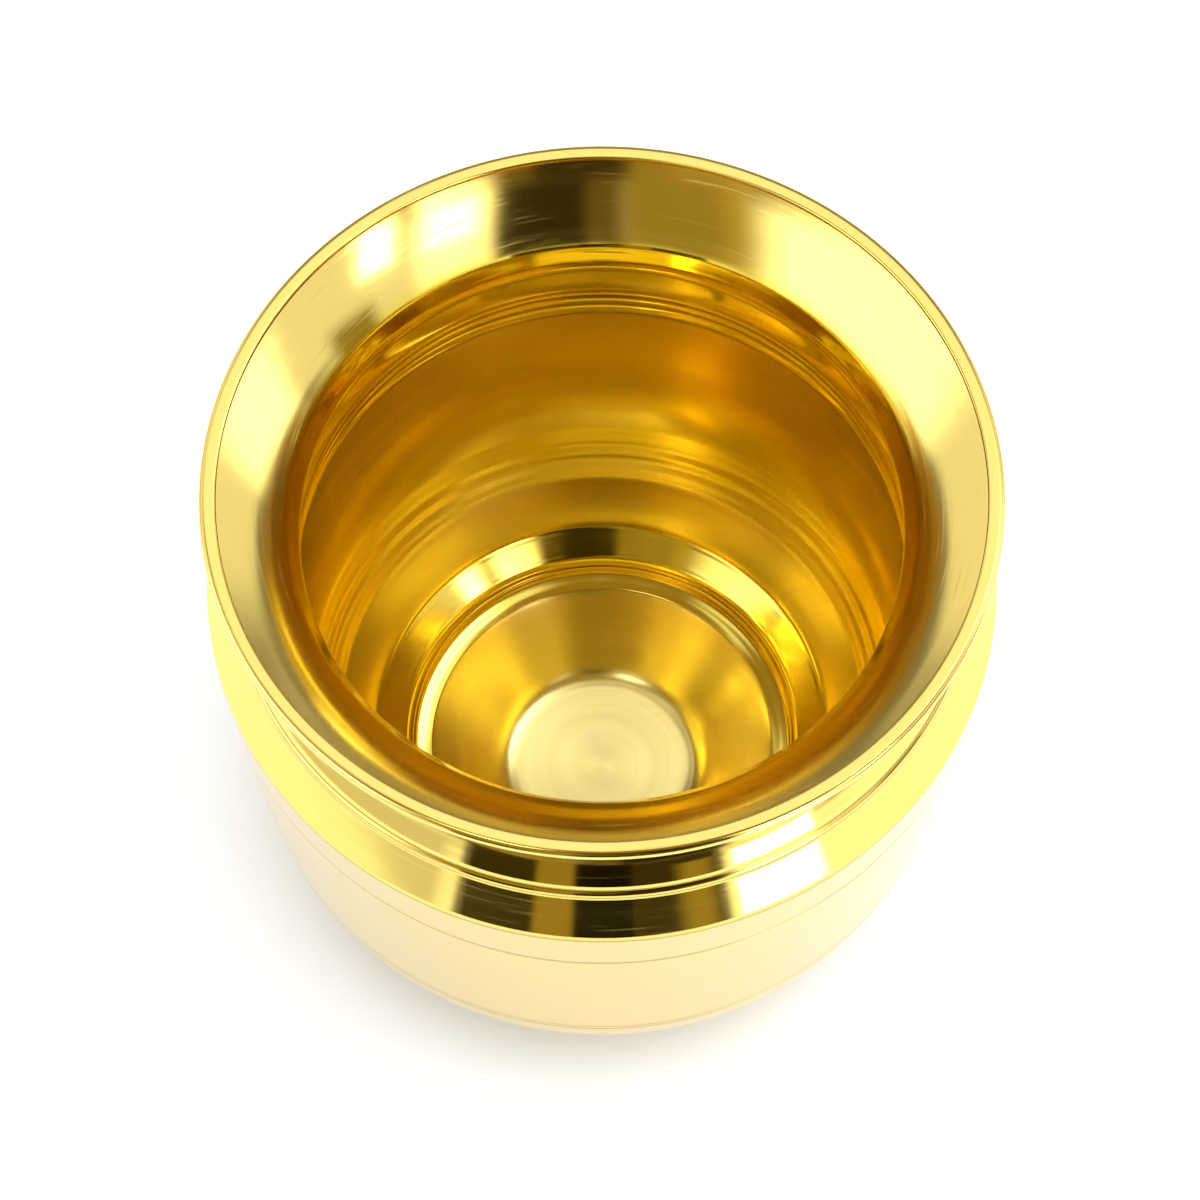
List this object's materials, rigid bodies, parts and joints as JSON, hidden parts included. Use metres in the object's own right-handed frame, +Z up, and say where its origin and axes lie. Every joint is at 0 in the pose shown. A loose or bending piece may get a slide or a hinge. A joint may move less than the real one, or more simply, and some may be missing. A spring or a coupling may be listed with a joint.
{
  "type": "lota",
  "caption": "Small round double-walled brass water vessel with a flared mouth, rolled lip, beaded neck, banded shoulder, rounded base and low foot ring.",
  "frame": {"origin": "on the vertical axis, at the level of the surface that the foot ring stands on", "axes": "+Z up along the axis of revolution, out of the mouth; +X and +Y are any two square directions, with -Y towards the viewer of the picture"},
  "size_m": [0.102, 0.102, 0.0901],
  "materials": {
    "bright_brass": "polished, with fine turning marks",
    "satin_brass": "satin, with fine turning marks",
    "turned_brass": "satin turned, visible circular tool marks",
    "wire_brass": "drawn wire",
    "filler_brass": "dull as-brazed filler"
  },
  "bodies": {
    "root": {"mouth_flare": "bright_brass", "lip_wire": "wire_brass", "neck_braze": "filler_brass", "neck_ring": "turned_brass", "belly_braze": "filler_brass", "belly_wall": "turned_brass", "bowl_braze": "filler_brass", "inner_bowl": "turned_brass", "floor_dish": "turned_brass", "floor_braze": "filler_brass", "shoulder_ring": "bright_brass", "collar_braze": "filler_brass", "body_shell": "satin_brass", "shoulder_braze": "filler_brass", "base_pan": "satin_brass", "seam_braze": "filler_brass", "foot_ring": "satin_brass", "foot_braze": "filler_brass"}
  },
  "joints": []
}
